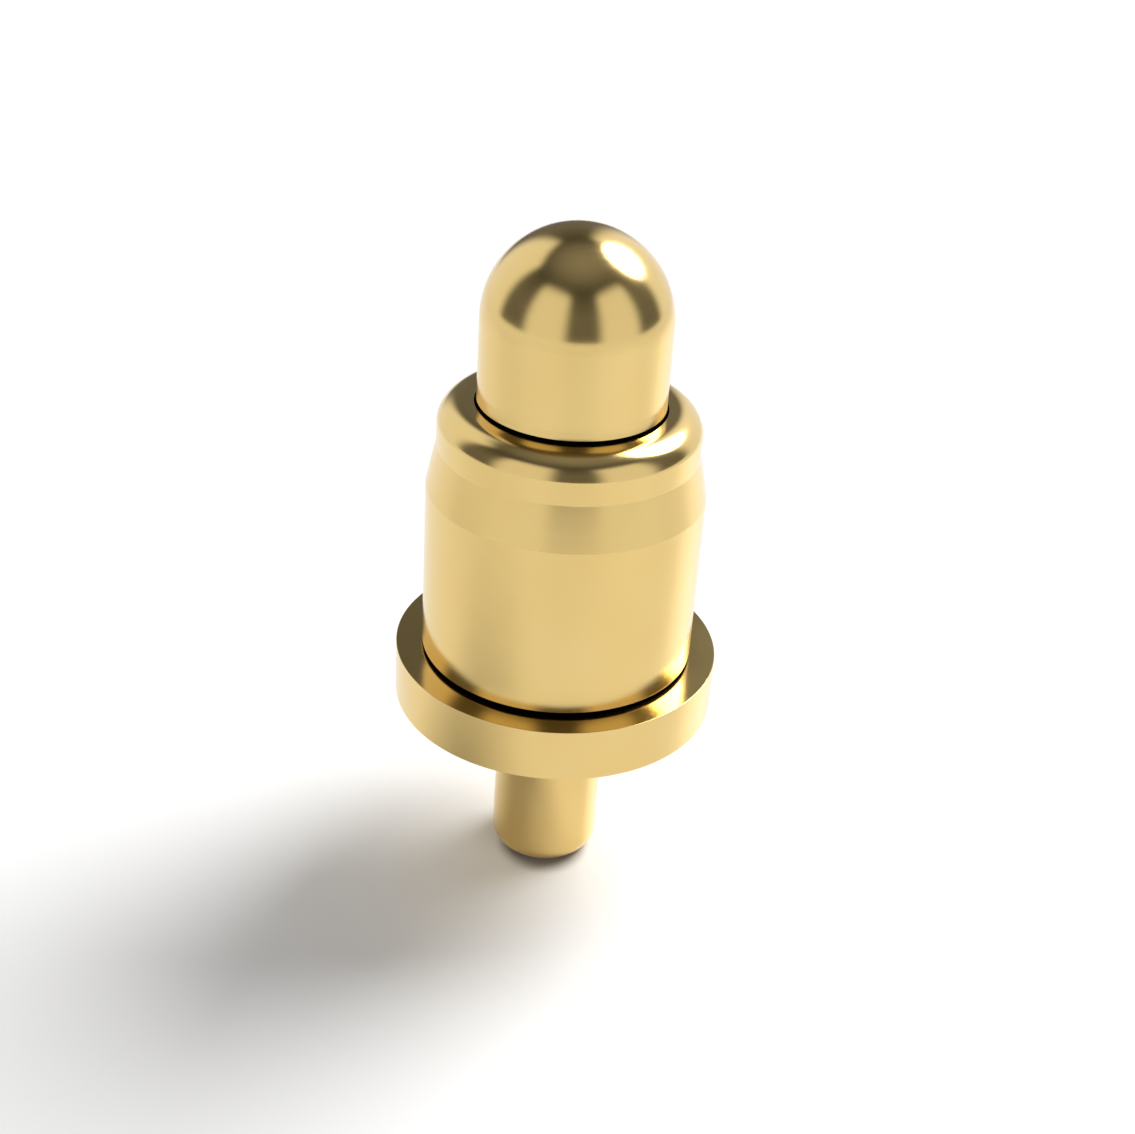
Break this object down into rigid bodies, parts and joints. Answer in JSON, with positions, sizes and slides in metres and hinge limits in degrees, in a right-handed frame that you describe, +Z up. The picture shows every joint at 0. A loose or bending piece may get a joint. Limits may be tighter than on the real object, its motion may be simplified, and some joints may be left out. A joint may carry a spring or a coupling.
{
  "type": "pogo pin",
  "caption": "Spring-loaded contact pin with a round-nosed plunger, a crimped barrel, a mounting flange and a solder tail.",
  "frame": {"origin": "centre of the flange's underside, where the flange seats on the board and the solder tail begins", "axes": "+Z up the pin's axis towards the plunger's tip; the solder tail points along -Z"},
  "size_m": [0.0026, 0.0026, 0.0056],
  "materials": {
    "tail_plating": "polished gold plate",
    "barrel_plating": "polished gold plate",
    "plunger_plating": "polished gold plate",
    "spring_wire": "thin gold plate on drawn spring wire"
  },
  "bodies": {
    "housing": {"flanged_tail": "tail_plating", "barrel_sleeve": "barrel_plating", "spring": "spring_wire"},
    "plunger": {"plunger": "plunger_plating"}
  },
  "joints": [
    {"name": "plunger_slide", "type": "slide", "parent": "housing", "child": "plunger", "axis": [0, 0, 1], "range_m": [-0.001, 0], "stiffness_N_per_m": 800, "deforming": ["spring"]}
  ]
}
